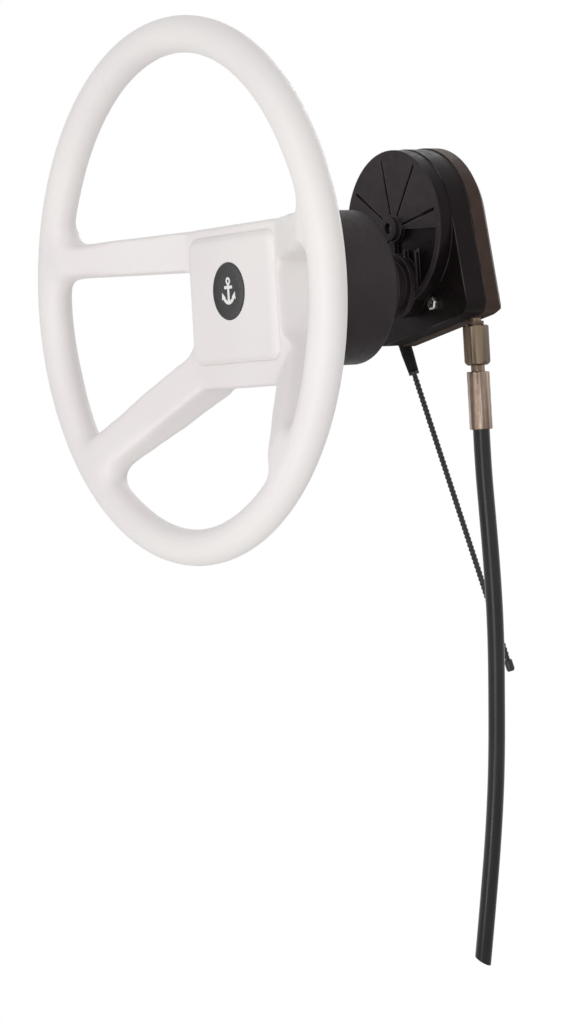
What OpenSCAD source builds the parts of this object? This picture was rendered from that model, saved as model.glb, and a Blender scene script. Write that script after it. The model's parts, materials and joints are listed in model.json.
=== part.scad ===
// Boat steering helm: dished four-spoke wheel, dash bezel, geared cable drum in a two-part case,
// and a push-pull cable whose spent core end leaves the case through a nipple.
// X points to the driver's right, Y forward through the dash, Z up.
// The origin is on the shaft axis, at the face that meets the dash.

/* [Wheel] */
// Outer diameter of the wheel
wheel_d = 342; // [320:1:380]
// Thickness of the round rim
rim_d = 23; // [20:0.5:26]
// Distance from the dash face back to the middle of the rim
rim_reach = 130; // [124:1:140]
// Distance from the dash face back to the front of the moulded hub
hub_reach = 92; // [90:0.5:94]
// Depth of the moulded hub from front to back
hub_depth = 36; // [34:0.5:37]
// Width of the hub
hub_w = 100; // [99:1:106]
// Height of the hub and the upper spokes above the shaft axis
hub_top = 42; // [40:1:46]
// Depth of the hub below the shaft axis
hub_drop = 61; // [56:1:66]
// Wall of the hollow hub
hub_wall = 4; // [3:0.5:6]
// Corner radius of the hub
hub_corner = 9; // [6:0.5:14]
// Thickness of the spokes across the dish
spoke_t = 18; // [15:0.5:19]
// Width of an upper spoke where it leaves the hub
bar_hub_w = 26.5; // [22:0.5:30]
// Width of an upper spoke where it meets the rim
bar_rim_w = 21; // [18:0.5:24]
// Width of a lower spoke
low_spoke_w = 28; // [25:1:32]
// Slope of the lower spokes below the horizontal, in degrees
low_spoke_slope = 43; // [40:1:45]
// Fillet radius where spokes, hub and rim meet
spoke_fillet = 9; // [4:1:12]

/* [Hub pad] */
// Width of the pad that covers the hub
pad_w = 96; // [84:1:98]
// Height of the pad above the shaft axis
pad_top = 34.5; // [30:0.5:38]
// Depth of the pad below the shaft axis
pad_drop = 44; // [40:0.5:50]
// Thickness of the pad
pad_t = 7; // [6.5:0.5:9]
// How far the pad stands in front of the hub
pad_proud = 3; // [2.5:0.5:5]
// Corner radius of the pad
pad_corner = 7; // [3:0.5:12]
// Wall of the pad over the wheel nut
pad_wall = 3; // [2.5:0.5:4]
// Diameter of the round emblem disc
emblem_d = 38; // [30:1:44]
// Thickness of the emblem disc
emblem_t = 2; // [2:0.25:3]
// Bevel round the front of the emblem disc
emblem_bevel = 0.4; // [0.3:0.1:0.8]
// Depth of the recess that the emblem disc sits in
emblem_recess = 1.5; // [1:0.25:2]

/* [Shaft] */
// Diameter of the steering shaft
shaft_d = 19; // [17:0.5:20]
// Diameter at the small end of the wheel taper
taper_d = 17.2; // [15:0.2:17.4]
// Diameter of the thread for the wheel nut
thread_d = 12; // [10:0.5:13]
// Diameter of the spigot that carries the pinion
spigot_d = 8; // [6:0.5:9]
// Distance from the axis to the flat on the spigot
spigot_flat = 3.2; // [2.8:0.1:3.4]
// Diameter of the thrust shoulder on the shaft
shoulder_d = 23; // [22:0.5:25]
// Thickness of the thrust shoulder on the shaft
shoulder_t = 4; // [3:0.5:5]
// Thickness of the thrust washer in front of the pinion
thrust_t = 1; // [0.8:0.1:1.2]
// Thickness of the groove for the pinion clip
clip_t = 1; // [0.8:0.1:1.2]
// Depth of the groove for the pinion clip
clip_depth = 0.8; // [0.5:0.1:1]
// Width of the square key
key_w = 4.8; // [4:0.2:6]
// Length of the key
key_len = 14; // [10:1:16]
// Diameter of the metal hub insert
insert_d = 34; // [30:1:38]
// Diameter of the insert's front flange
insert_flange_d = 44; // [42:1:48]
// Thickness of the insert's front flange
insert_flange_t = 4; // [3:0.5:5]
// Length of the metal hub insert
insert_len = 22; // [21:0.5:23]
// How far the insert stands out of the back of the hub
insert_proud = 2; // [1:0.5:3]
// Width across the flats of the wheel nut
wheel_nut_af = 19; // [17:1:22]
// Height of the wheel nut
wheel_nut_h = 10; // [8:0.5:11]
// Length of thread in front of the wheel nut
thread_show = 1.5; // [0.5:0.5:1.5]
// Diameter of the washer under the wheel nut
wheel_washer_d = 30; // [26:1:36]
// Thickness of the washer under the wheel nut
wheel_washer_t = 2.5; // [1.5:0.5:3]

/* [Bezel and dash mount] */
// Diameter of the bezel at the dash
bezel_d = 100; // [98:1:108]
// Length of the bezel along the shaft
bezel_len = 50; // [46:1:51]
// Diameter of the bezel at its front
bezel_front_d = 68; // [64:1:74]
// Length of the straight skirt at the dash
bezel_skirt = 10; // [6:1:14]
// Wall of the bezel
bezel_wall = 2.5; // [2:0.25:3]
// Thickness of the mounting plate
plate_t = 4; // [3:0.5:6]
// Diameter of the bolt circle for the dash bolts
bolt_pcd = 78; // [76:1:82]
// Number of dash bolts
bolt_count = 4; // [3:1:6]
// Diameter of the holes for the dash bolts
bolt_hole_d = 5.5; // [4.5:0.5:6.5]
// Thickest dash that fits between the plate and the case collar
dash_t = 12; // [8:1:14]
// Outer diameter of the neck that passes through the dash
neck_d = 32; // [31:0.5:34]
// Bore of the neck
neck_bore = 26; // [25.5:0.5:27]
// Diameter of the step where the neck meets the case
neck_root_d = 42; // [36:1:46]
// Height of the step where the neck meets the case
neck_root_h = 3; // [2:0.5:5]
// Distance that the neck stands in front of the dash face
neck_reach = 24; // [22:1:26]
// Diameter of the collar on the neck behind the dash
collar_d = 60; // [50:1:64]
// Thickness of the collar behind the dash
collar_t = 4; // [3:0.5:6]
// Diameter of the ring nut on the neck
ring_nut_d = 46; // [42:1:52]
// Height of the ring nut on the neck
ring_nut_h = 8; // [6:0.5:9]
// Number of spanner notches in the ring nut
ring_nut_notches = 8; // [6:1:10]
// Radius of the spanner notches in the ring nut
ring_nut_notch_r = 3; // [2:0.5:4]
// Length of the front shaft bush behind its flange
front_bush_len = 16; // [12:1:18]
// Length of the rear shaft bush
rear_bush_len = 20; // [14:1:22]
// Length of the shaft seal
seal_len = 5; // [4:0.5:7]
// Flange diameter of the front shaft bush
bush_flange_d = 30; // [28:0.5:34]
// Flange thickness of the front shaft bush
bush_flange_t = 2; // [1.5:0.25:3]

/* [Case] */
// Distance from the dash face to the front edge of the case
case_front = 35; // [34:0.5:38]
// Distance from the dash face to the seam between case and cover
case_seam = 60; // [60:0.25:61]
// Distance from the dash face to the back of the cover
case_back = 76; // [76:0.5:80]
// Distance from the dash face to the ledge below the round front of the case
ledge_front = 45; // [44:0.5:46]
// Step from the round front of the case out to the case's edge
face_inset = 0.5; // [0.4:0.1:0.8]
// Radius of the round top of the case
case_r = 51.5; // [51:0.25:54]
// Distance from the drum axis down to the bottom of the case
case_drop = 69; // [66:1:74]
// Turn of the case about the drum axis, in degrees
case_turn = 10.5; // [8:0.5:13]
// Wall of the case
case_wall = 2.4; // [2:0.1:2.6]
// Corner radius at the bottom of the case
case_corner = 9; // [5:1:12]
// How far the cover stands proud of the case
cover_proud = 0.7; // [0.2:0.1:1.5]
// Width of the slope round the back of the cover
cover_bevel = 5.5; // [3:0.5:7]
// Thickness of the cover's back wall
cover_wall = 2.6; // [2.2:0.1:3]
// Height of the step inside the cover's back edge
cover_step = 2; // [1.5:0.1:2.1]
// Thickness of the gasket in the seam
gasket_t = 0.6; // [0.4:0.1:1]
// Depth of the recess at the lower right of the round front
recess_depth = 3; // [2.5:0.25:3.5]
// Thickness of the wall behind the recess
web_t = 2; // [2:0.25:2.5]
// Angle from the horizontal down to the start of the recess, in degrees
recess_start = 4; // [0:1:8]
// Angle that the recess covers, in degrees
recess_arc = 84; // [70:1:88]
// Thickness of the ribs in the recess
rib_t = 1.6; // [1.2:0.2:3]
// Distance from the drum axis across to the first rib
rib_in = 10.5; // [10:0.5:12]
// Distance between the two ribs
rib_gap = 12; // [8:0.5:14]
// Distance from the drum axis down to the top of the ribs
rib_low = 15; // [13:0.5:18]
// Radius that the recess and the grooves reach
face_cut_r = 47; // [44:0.5:48]
// Depth of the grooves in the round front
groove_depth = 2; // [1:0.25:2.25]
// Width of a groove
groove_w = 2; // [1.2:0.2:3]
// Number of grooves
groove_count = 8; // [6:1:12]
// Angle of the first groove, in degrees
groove_start = 11; // [0:1:44]
// Diameter of the axle boss on the front of the case
boss_d = 16; // [14:0.5:20]
// How far the axle boss stands in front of the case
boss_proud = 4; // [2:0.5:6]
// Diameter of the hole in the front of the axle boss
boss_hole_d = 7.5; // [5:0.5:8]
// Thickness of the lip in the boss that stops the axle
boss_lip = 2; // [1:0.5:2.5]
// Diameter of the screws that hold the cover
cover_screw_d = 4; // [3:0.5:5]
// Head diameter of the cover screws
cover_head_d = 7.4; // [6.4:0.2:8]
// Distance from the right cover screw to the side of the case
screw_in_right = 8; // [7.5:0.5:9]
// Distance from the left cover screw to the side of the case
screw_in_left = 18.5; // [17:0.5:20]
// Distance from the cover screws to the bottom of the case
screw_up = 11.5; // [11:0.5:12]
// Head height of the cover screws
cover_head_h = 3; // [2.4:0.2:3.6]
// Length of the cover screws in the front case
cover_screw_grip = 12; // [8:1:12]
// Wall of the bosses round the cover screws
screw_boss_wall = 2; // [1.6:0.1:2.2]
// Across-flats size of the grease plug's head
plug_af = 8; // [6:0.5:9]
// Head height of the grease plug
plug_head_h = 4; // [3:0.5:5]
// Distance from the grease plug to the right side of the case
plug_in = 33; // [31:0.5:34]
// Distance from the grease plug to the bottom of the case
plug_up = 14; // [12:0.5:14]
// Thread diameter of the grease plug
plug_d = 5; // [4:0.5:6]

/* [Gears and drum] */
// Module of the gears
gear_module = 1.25; // [1.25:0.01:1.3]
// Teeth on the pinion
pinion_teeth = 12; // [12:1:13]
// Teeth on the drum gear
gear_teeth = 48; // [47:1:48]
// Face width of the drum gear
gear_w = 8; // [6:0.5:8.5]
// Face width of the pinion
pinion_w = 9.5; // [8:0.5:9.5]
// Backlash of the gears at the pitch circle
backlash = 0.2; // [0.15:0.05:0.4]
// Radius of the cable core's centre line on the drum
pitch_r = 45; // [44:0.25:45.5]
// Distance from the dash face to the middle of the cable groove
cable_y = 64; // [64:0.1:65]
// Width of the drum's rim
drum_w = 14; // [12:0.5:15]
// Thickness of the liner that keeps the core on the drum
guide_t = 1.4; // [0.8:0.1:1.4]
// Width of the liner that keeps the core on the drum
guide_w = 8.8; // [7:0.2:10]
// Angle that the liner covers, in degrees
guide_arc = 160; // [120:5:170]
// Diameter of the drum axle
axle_d = 10; // [8:0.5:11]
// Diameter of the thread at the back of the axle
axle_thread_d = 8; // [6:0.5:8]
// Width across the flats of the axle nut
axle_nut_af = 13; // [12:0.5:16]
// Height of the axle nut
axle_nut_h = 5; // [4:0.5:7]
// Diameter of the washer under the axle nut
axle_washer_d = 17; // [16:0.5:20]
// Thickness of the washer under the axle nut
axle_washer_t = 1.2; // [1:0.1:1.6]
// Wall of the drum bushes
bush_wall = 2; // [1.5:0.25:2.5]
// Length of each drum bush
drum_bush_len = 10; // [8:0.5:12]
// Radius of the drum's hub
drum_hub_r = 16; // [15:0.5:18]
// Thickness of the drum's rim below the cable's centre line
drum_rim_t = 9; // [7:0.5:11]
// Thickness of the drum's web
drum_web_t = 5; // [4:0.5:7]
// Number of round holes in the drum's web
drum_holes = 6; // [4:1:6]
// Thread diameter of the screws that join gear and drum
drum_screw_d = 3.2; // [2.6:0.2:4]
// Head diameter of the screws that join gear and drum
drum_head_d = 5.6; // [5:0.2:6.4]
// Head height of the screws that join gear and drum
drum_head_h = 2; // [1.6:0.2:2.6]
// Length of the drum screws inside the drum
drum_screw_grip = 9; // [6:0.5:12]
// Diameter of the washers in front of and behind the drum
drum_washer_d = 18; // [16:0.5:22]
// Thickness of the washer in front of the drum gear
gear_washer_t = 1.7; // [1.2:0.1:2]
// Thickness of the washer behind the drum
drum_washer_t = 1.1; // [0.8:0.1:1.3]

/* [Cable] */
// Diameter of the cable core
core_d = 4.2; // [3.8:0.1:4.4]
// Diameter of the cable conduit
conduit_d = 11; // [10:0.5:12]
// Diameter of the bore that the core runs in
core_bore = 5; // [4.8:0.1:5.4]
// Diameter of the inlet stub's neck
stub_d = 7.8; // [7.2:0.1:8.4]
// Diameter of the thread inside the coupling nut
stub_thread_d = 12.8; // [12:0.2:13]
// Length of the stub's thread inside the coupling nut
stub_thread_len = 9; // [7:0.5:12]
// Length of the stub inside the case
stub_grip = 14; // [10:0.5:16]
// Distance from the stub's axis to the sides of the block that holds it
block_r = 7; // [6.5:0.25:7.5]
// Thickness of the lip above the stub
block_lip = 5; // [4:0.5:6]
// Length of bare stub between the case and the collar
stub_show = 1.4; // [1:0.1:3]
// Height of the collar above the coupling nut
inlet_collar_h = 2.6; // [2:0.2:3.4]
// Diameter of the collar above the coupling nut
inlet_collar_d = 11; // [10.5:0.5:13]
// Width across the flats of the coupling nut
coupling_af = 15; // [14.5:0.5:17]
// Length of the coupling nut
coupling_len = 26; // [24:0.5:30]
// Length of the shoulder at the lower end of the coupling nut
coupling_shoulder = 5; // [4:0.5:7]
// Chamfer round the lower end of the coupling nut
coupling_chamfer = 1.5; // [0.5:0.5:2]
// Diameter of the cable end fitting's shank
shank_d = 9; // [8:0.25:9.5]
// Bare length of shank between the nut and the ferrule
shank_gap = 4; // [3:0.5:10]
// Diameter of the crimp ferrule
ferrule_d = 15; // [13:0.5:16]
// Length of the crimp ferrule
ferrule_len = 37.5; // [30:0.5:45]
// Number of crimped bands on the ferrule
crimp_bands = 3; // [2:1:5]
// Radius of the hollow of a crimped band
crimp_r = 1.2; // [0.8:0.1:2]
// Depth of a crimped band
crimp_depth = 0.3; // [0.2:0.05:0.6]
// Lean of the spent core towards the driver's right, in degrees
tail_lean_x = 9; // [7:0.5:11]
// Lean of the spent core away from the dash, in degrees
tail_lean_y = 12; // [8:0.5:14]
// Length of the outlet nipple outside the case
nipple_len = 21; // [16:1:26]
// Depth of the nipple's socket in the cover
socket_depth = 6; // [5:0.5:7]
// Length of the ring at the end of the nipple
ring_len = 2; // [1.5:0.25:3]
// Diameter of the outlet nipple at the case
nipple_d = 8.4; // [8:0.2:9]
// Wall of the outlet nipple inside the case
nipple_wall = 0.8; // [0.6:0.1:0.9]
// Diameter of the outlet nipple at its end
nipple_end_d = 7; // [6.4:0.2:7.6]
// Length of the spent core outside the nipple, at mid travel
tail_len = 201; // [180:1:220]
// Number of ribs of winding on the spent core
tail_ribs = 64; // [40:1:70]
// Depth of the winding on the spent core
tail_rib_depth = 0.45; // [0.2:0.05:0.6]
// Length of the crimped tip of the core
tip_len = 8; // [6:0.5:12]
// Diameter of the crimped tip of the core
tip_d = 5.6; // [5:0.2:6.4]
// Bevel at the ends of the crimped tip
tip_bevel = 0.6; // [0.3:0.1:0.9]

/* [Fits] */
// Radial clearance of seated pieces
seat = 0.05; // [0.03:0.01:0.08]
// Radial clearance of running fits
run = 0.05; // [0.03:0.01:0.08]
// Gap between faces that move past each other
gap = 0.3; // [0.25:0.05:0.35]
// End play of the pinion on its spigot
end_play = 0.2; // [0.1:0.05:0.3]

/* [Hidden] */
$fn = 64;
eps = 0.01;
past = 1;

// Wheel
rim_r = (wheel_d - rim_d) / 2;
rim_y = -rim_reach;
hub_y = -hub_reach;
hub_back = hub_y + hub_depth;
pad_y = hub_y - pad_proud;
pad_back = pad_y + pad_t;
spoke_end_r = rim_r - rim_d / 3;
bar_fall = (bar_hub_w - bar_rim_w) / 2;
low_spoke_root = [0.34 * hub_w, -0.53 * hub_drop];
low_spoke_start = 0.7 * hub_w;

// Shaft stack, from the driver towards the drum
insert_y = hub_back + insert_proud - insert_len;
insert_back = insert_y + insert_len;
flange_back = insert_y + insert_flange_t;
washer_y = insert_y - wheel_washer_t;
nut_y = washer_y - wheel_nut_h;
thread_tip = nut_y - thread_show;
nut_pocket_d = insert_flange_d + 2 * gap;
bush_front = -neck_reach - bush_flange_t;
front_bush_back = -neck_reach + front_bush_len;
shoulder_back = bush_front - gap;
shoulder_y = shoulder_back - shoulder_t;

// Case and drum
drum_z = gear_module * (pinion_teeth + gear_teeth) / 2;
web_front = case_front + recess_depth;
web_back = web_front + web_t;
bush_end = web_back;
shaft_end = bush_end + gap;
pinion_y = shaft_end + thrust_t + end_play;
clip_y = pinion_y + pinion_w + end_play;
clip_groove_r = spigot_d / 2 - clip_depth;
spigot_end = clip_y + clip_t + clip_depth;
gear_y = web_back + gear_washer_t + gap;
gear_back = gear_y + gear_w;
screw_tip = gear_back + drum_screw_grip;
drum_front = cable_y - drum_w / 2;
drum_back = cable_y + drum_w / 2;
cover_inner = case_back - cover_wall;
drum_hub_back = cover_inner - drum_washer_t - gap;
axle_seat = case_front - boss_proud + boss_lip;
axle_nut_y = case_back + axle_washer_t;
axle_nut_back = axle_nut_y + axle_nut_h;
cover_y = case_seam + gasket_t;
cover_r = case_r + cover_proud;
cover_screw_tip = case_seam - cover_screw_grip;
cavity_r = case_r - case_wall;
cavity_drop = case_drop - case_wall;
bush_r = axle_d / 2 + run + bush_wall;
groove_r = core_d / 2 + gap;
flange_r = pitch_r + core_d / 2 - gap;
guide_in = pitch_r + core_d / 2 + gap;
guide_out = guide_in + guide_t;
screw_z = screw_up - case_drop;
screw_spots = [[case_r - screw_in_right, screw_z], [screw_in_left - case_r, screw_z]];
plug_spot = [case_r - plug_in, plug_up - case_drop];
face_r = case_r - face_inset;
ledge_back = ledge_front + case_wall;

// Cable line, downwards
inlet_floor = drum_z - (case_drop + cover_proud - pitch_r * sin(case_turn)) / cos(case_turn);
nut_z = inlet_floor - stub_show - inlet_collar_h;
nut_end = nut_z - coupling_len;
stub_end = nut_z - stub_thread_len;
shank_end = nut_end - shank_gap;
ferrule_end = shank_end - ferrule_len;
stub_top = inlet_floor + stub_grip;
block_top = stub_top + block_lip;

// Spent core line
wrap = 180 + tail_lean_x;
tail_dir = unit([tan(tail_lean_x), tan(tail_lean_y), -1]);
fall_dir = [sin(tail_lean_x), 0, -cos(tail_lean_x)];
leave = [-pitch_r * cos(tail_lean_x), cable_y, drum_z - pitch_r * sin(tail_lean_x)];
leave_len = case_drop;
tail_root = leave + leave_len * fall_dir;
tail_start = tail_root + nipple_len * tail_dir;
tip_start = tail_start + tail_len * tail_dir;

// Route of the conduit from the ferrule to its bare end
CONDUIT_ROUTE = [
    [pitch_r, cable_y, ferrule_end], [45, 64, -112], [45.3, 64, -128], [46.2, 64, -146],
    [47.2, 64, -166], [48, 64, -186], [48.4, 64, -208], [48, 64, -230], [46.8, 64, -252],
    [45, 64, -275], [42.8, 64, -300], [39.8, 64, -325], [35.8, 64, -350], [31, 64, -375],
    [25.8, 64, -399], [20.4, 64, -423], [14.8, 64, -447]
];

// Vectors and swept tubes
function unit(v) = v / norm(v);
function heading(path, i) = unit(path[min(i + 1, len(path) - 1)] - path[max(i - 1, 0)]);
function ring(centre, dir, r, sides) =
    let (u = unit(cross(dir, [0, 1, 0])), v = cross(dir, u))
    [for (k = [0 : sides - 1]) centre + r * (cos(360 * k / sides) * u + sin(360 * k / sides) * v)];

module swept(path, radii, sides = 8) {
    last = len(path) - 1;
    points = [for (i = [0 : last]) each ring(path[i], heading(path, i), radii[i], sides)];
    skin = [
        for (i = [0 : last - 1])
            for (k = [0 : sides - 1])
                let (a = i * sides + k, b = i * sides + (k + 1) % sides)
                each [[a, a + sides, b], [b, a + sides, b + sides]]
    ];
    near_cap = [for (k = [1 : sides - 2]) [0, k, k + 1]];
    far_cap = [for (k = [1 : sides - 2]) [last * sides, last * sides + k + 1, last * sides + k]];
    polyhedron(points, concat(skin, near_cap, far_cap));
}

// Solids placed by distance along Y
module plate(y0, y1) {
    translate([0, y0, 0])
        rotate([90, 0, 0])
            mirror([0, 0, 1])
                linear_extrude(y1 - y0)
                    children();
}
module turned() rotate([-90, 0, 0]) rotate_extrude() children();
module rod(r, y0, y1) translate([0, y0, 0]) rotate([-90, 0, 0]) cylinder(r = r, h = y1 - y0);
module sleeve(r_out, r_in, y0, y1) {
    difference() {
        rod(r_out, y0, y1);
        rod(r_in, y0 - past, y1 + past);
    }
}
module hexagon(af) circle(d = af / cos(30), $fn = 6);
module at_drum() translate([0, 0, drum_z]) children();
module at_inlet() translate([pitch_r, cable_y, 0]) children();
module post(r, z0, z1) translate([0, 0, z0]) cylinder(r = r, h = z1 - z0);
module along_tail() rotate([0, acos(tail_dir.z), atan2(tail_dir.y, tail_dir.x)]) children();
module at_tail() translate(tail_root) along_tail() children();
module up_from_root() translate(tail_root) rotate([0, -tail_lean_x, 0]) children();
module rounded_rect(x0, y0, x1, y1, r) {
    translate([x0 + r, y0]) square([x1 - x0 - 2 * r, y1 - y0]);
    translate([x0, y0 + r]) square([x1 - x0, y1 - y0 - 2 * r]);
    for (x = [x0 + r, x1 - r], y = [y0 + r, y1 - r]) translate([x, y]) circle(r);
}

// Gears with involute teeth
pressure = 25;
addendum = 0.8;
dedendum = 1.05;
flank_steps = 4;
function inv(a) = tan(a) * 180 / PI - a;
function tooth_angle(r, teeth) =
    let (rp = gear_module * teeth / 2, rb = rp * cos(pressure))
    90 / teeth - backlash / rp / 4 * 180 / PI + inv(pressure) - inv(r > rb ? acos(rb / r) : 0);
function gear_points(teeth) =
    let (
        rp = gear_module * teeth / 2,
        rb = rp * cos(pressure),
        tip = rp + addendum * gear_module,
        root = rp - dedendum * gear_module,
        low = max(rb, root) + eps,
        flank = concat([root], [for (i = [0 : flank_steps]) low + (tip - low) * i / flank_steps])
    )
    [
        for (t = [0 : teeth - 1])
            each concat(
                [for (r = flank) let (a = 360 * t / teeth - tooth_angle(r, teeth)) r * [cos(a), sin(a)]],
                [
                    for (i = [len(flank) - 1 : -1 : 0])
                        let (r = flank[i], a = 360 * t / teeth + tooth_angle(r, teeth)) r * [cos(a), sin(a)]
                ]
            )
    ];

// Steering wheel
module spoke_face() {
    for (side = [0, 1])
        mirror([side, 0]) {
            polygon([
                [0, hub_top], [hub_w / 2, hub_top], [spoke_end_r, hub_top - bar_fall],
                [spoke_end_r, hub_top - bar_fall - bar_rim_w],
                [hub_w / 2, hub_top - bar_hub_w], [0, hub_top - bar_hub_w]
            ]);
            translate(low_spoke_root)
                rotate(-low_spoke_slope)
                    translate([0, -low_spoke_w / 2])
                        square([rim_r, low_spoke_w]);
        }
}

module wheel_face() {
    offset(r = -spoke_fillet)
        offset(delta = spoke_fillet) {
            intersection() {
                spoke_face();
                circle(r = rim_r);
            }
            difference() {
                circle(r = rim_r + rim_d / 4);
                circle(r = spoke_end_r);
            }
            translate([past - hub_w / 2, past - hub_drop])
                square([hub_w - 2 * past, hub_drop + hub_top - 2 * past]);
        }
}

module hub_outline(inset) {
    x = hub_w / 2 - inset;
    rounded_rect(-x, inset - hub_drop, x, hub_top - inset, hub_corner - inset / 2);
}

module pad_outline(room) {
    x = pad_w / 2 + room;
    rounded_rect(-x, -pad_drop - room, x, pad_top + room, pad_corner + room);
}

module spoke_ramp(start, low, high) {
    half = spoke_t / 2;
    front = hub_y + past;
    back = hub_y + spoke_t + half;
    bend = spoke_end_r - spoke_fillet;
    translate([0, 0, low])
        linear_extrude(high - low)
            polygon([
                [0, front], [start, front], [bend, rim_y - half], [rim_r, rim_y - half],
                [rim_r, rim_y + half], [bend + half, rim_y + half], [start + half, back], [0, back]
            ]);
}

module spokes() {
    reach = low_spoke_w / 2 + spoke_fillet + past;
    line = low_spoke_root.x * sin(low_spoke_slope) + low_spoke_root.y * cos(low_spoke_slope);
    for (side = [0, 1])
        intersection() {
            plate(rim_y - rim_d, hub_back) wheel_face();
            mirror([side, 0, 0]) {
                spoke_ramp(hub_w / 2, 0, hub_top + spoke_fillet + past);
                rotate([0, low_spoke_slope, 0]) spoke_ramp(low_spoke_start, line - reach, line + reach);
            }
        }
}

module steering_wheel() {
    color("ivory")
        difference() {
            union() {
                turned() translate([rim_r, rim_y]) circle(d = rim_d);
                spokes();
                plate(hub_y, hub_back) hub_outline(0);
            }
            difference() {
                plate(hub_y + spoke_t, hub_back + past) hub_outline(hub_wall);
                rod(insert_flange_d / 2 + hub_wall, hub_y, hub_back);
            }
            plate(pad_y - past, pad_back) pad_outline(gap);
            rod(nut_pocket_d / 2, hub_y - past, flange_back);
            rod(insert_d / 2 + seat, hub_y, hub_back + past);
        }
}

module hub_pad() {
    color("ivory")
        difference() {
            plate(pad_y, pad_back) pad_outline(0);
            rod(emblem_d / 2 + seat, pad_y - past, pad_y + emblem_recess);
            rod(nut_pocket_d / 2, pad_y + pad_wall, pad_back + past);
        }
}

module emblem_disc() {
    y1 = pad_y + emblem_recess;
    y0 = y1 - emblem_t;
    color("black")
        turned()
            polygon([
                [0, y0], [emblem_d / 2 - emblem_bevel, y0], [emblem_d / 2, y0 + emblem_bevel],
                [emblem_d / 2, y1], [0, y1]
            ]);
}

module hub_insert() {
    color("silver")
        difference() {
            turned()
                polygon([
                    [taper_d / 2 + seat, insert_y], [insert_flange_d / 2, insert_y],
                    [insert_flange_d / 2, flange_back], [insert_d / 2, flange_back],
                    [insert_d / 2, insert_back], [shaft_d / 2 + seat, insert_back]
                ]);
            key_block(seat);
        }
}

module key_block(room) {
    w = key_w + 2 * room;
    y0 = insert_y + (insert_len - key_len) / 2 - room;
    translate([-w / 2, y0, taper_d / 2 - key_w / 2 - room]) cube([w, key_len + 2 * room, w]);
}

module shaft_key() {
    color("dimgray") key_block(0);
}

module wheel_washer() {
    color("silver") sleeve(wheel_washer_d / 2, thread_d / 2 + seat, washer_y, insert_y);
}

module wheel_nut() {
    color("silver")
        difference() {
            plate(nut_y, washer_y) hexagon(wheel_nut_af);
            rod(thread_d / 2 + seat, nut_y - past, washer_y + past);
        }
}

// Shaft and pinion
module steering_shaft() {
    color("lightsteelblue")
        difference() {
            turned()
                polygon([
                    [0, thread_tip], [thread_d / 2, thread_tip], [thread_d / 2, insert_y],
                    [taper_d / 2, insert_y], [shaft_d / 2, insert_back], [shaft_d / 2, shoulder_y],
                    [shoulder_d / 2, shoulder_y], [shoulder_d / 2, shoulder_back],
                    [shaft_d / 2, shoulder_back],
                    [shaft_d / 2, shaft_end], [spigot_d / 2, shaft_end], [spigot_d / 2, clip_y],
                    [clip_groove_r, clip_y], [clip_groove_r, clip_y + clip_t],
                    [spigot_d / 2, clip_y + clip_t], [spigot_d / 2, spigot_end], [0, spigot_end]
                ]);
            key_block(seat);
            translate([-spigot_d, shaft_end + thrust_t, spigot_flat])
                cube([2 * spigot_d, spigot_end, spigot_d]);
        }
}

module thrust_washer() {
    color("khaki") sleeve(neck_bore / 2 - gap, spigot_d / 2 + seat, shaft_end, shaft_end + thrust_t);
}

module pinion_gear() {
    color("slategray")
        difference() {
            plate(pinion_y, pinion_y + pinion_w) rotate(90) polygon(gear_points(pinion_teeth));
            difference() {
                rod(spigot_d / 2 + seat, pinion_y - past, pinion_y + pinion_w + past);
                translate([-spigot_d, pinion_y - 2 * past, spigot_flat + seat])
                    cube([2 * spigot_d, pinion_w + 4 * past, spigot_d]);
            }
        }
}

module pinion_clip() {
    r_in = clip_groove_r + seat;
    mouth = 1.8 * r_in;
    slack = end_play / 2;
    color("dimgray")
        difference() {
            sleeve(spigot_d / 2 + 2 * clip_depth, r_in, clip_y + slack, clip_y + clip_t - slack);
            translate([-mouth / 2, clip_y - past, -spigot_d]) cube([mouth, clip_t + 2 * past, spigot_d]);
        }
}

// Drum
module drum_screw_holes(r, y0, y1) {
    for (i = [0 : 2])
        rotate([0, 120 * i, 0])
            translate([0, 0, (bush_r + drum_hub_r) / 2])
                rod(r, y0, y1);
}

module drum_gear() {
    color("goldenrod")
        at_drum()
            difference() {
                plate(gear_y, gear_back)
                    rotate(270 + 180 / gear_teeth)
                        polygon(gear_points(gear_teeth));
                rod(bush_r + seat, gear_y - past, gear_back + past);
                drum_screw_holes(drum_screw_d / 2 + seat, gear_y - past, gear_back + past);
                drum_screw_holes(drum_head_d / 2 + seat, gear_y - past, gear_y + drum_head_h);
            }
}

module cable_drum() {
    rim_in = pitch_r - drum_rim_t;
    web = drum_web_t / 2;
    color("gainsboro")
        at_drum()
            difference() {
                turned()
                    difference() {
                        polygon([
                            [bush_r + seat, gear_back], [drum_hub_r, gear_back],
                            [drum_hub_r, cable_y - web], [rim_in, cable_y - web],
                            [rim_in, drum_front], [flange_r, drum_front], [flange_r, drum_back],
                            [rim_in, drum_back], [rim_in, cable_y + web], [drum_hub_r, cable_y + web],
                            [drum_hub_r, drum_hub_back], [bush_r + seat, drum_hub_back]
                        ]);
                        translate([pitch_r, cable_y]) circle(groove_r);
                        translate([pitch_r, cable_y - groove_r]) square([groove_r + past, 2 * groove_r]);
                    }
                drum_screw_holes(drum_screw_d / 2 + seat, gear_back - past, screw_tip + past);
                for (i = [0 : drum_holes - 1])
                    rotate([0, 15 + 360 * i / drum_holes, 0])
                        translate([0, 0, (drum_hub_r + rim_in) / 2])
                            rod((rim_in - drum_hub_r) / 3, drum_front, drum_back);
            }
}

module drum_bushes() {
    color("white")
        at_drum()
            for (y = [gear_y, drum_hub_back - drum_bush_len])
                sleeve(bush_r, axle_d / 2 + run, y, y + drum_bush_len);
}

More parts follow.
